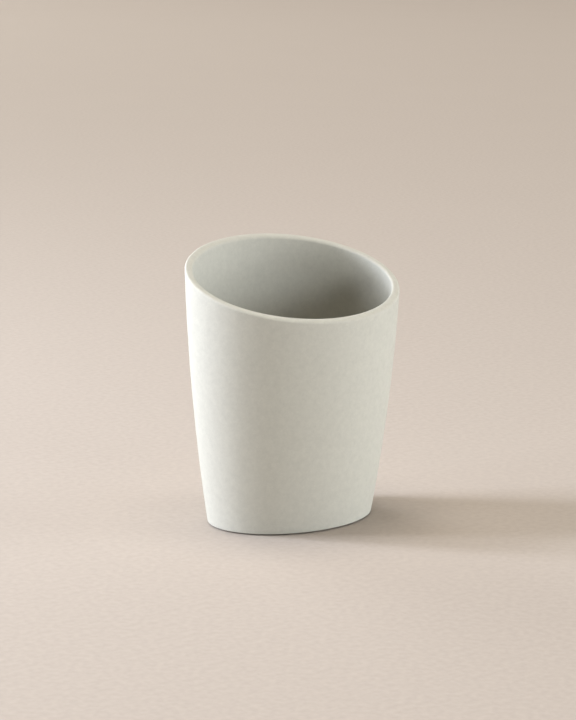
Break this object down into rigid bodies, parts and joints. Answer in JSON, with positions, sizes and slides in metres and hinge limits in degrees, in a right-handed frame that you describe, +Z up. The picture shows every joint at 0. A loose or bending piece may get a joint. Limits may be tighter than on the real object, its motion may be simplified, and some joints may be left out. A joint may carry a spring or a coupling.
{
  "type": "toothbrush holder",
  "caption": "Open oval toothbrush tumbler that widens from foot to lip, its lip cut slanting from a high back to a low front, on a recessed non-slip pad.",
  "frame": {"origin": "centre of the pad's underside, where the holder stands on the counter", "axes": "+Z up along the tumbler's upright axis; +X along the long way of the oval; -Y to the front, where the lip is lowest"},
  "size_m": [0.095, 0.0668, 0.1106],
  "materials": {
    "matte_resin": "fine matte, warm off-white, coloured through",
    "pad_silicone": "matte near-black silicone",
    "adhesive_film": "translucent double-sided film"
  },
  "bodies": {
    "root": {"tumbler_body": "matte_resin", "base_pad": "pad_silicone", "pad_adhesive": "adhesive_film"}
  },
  "joints": []
}
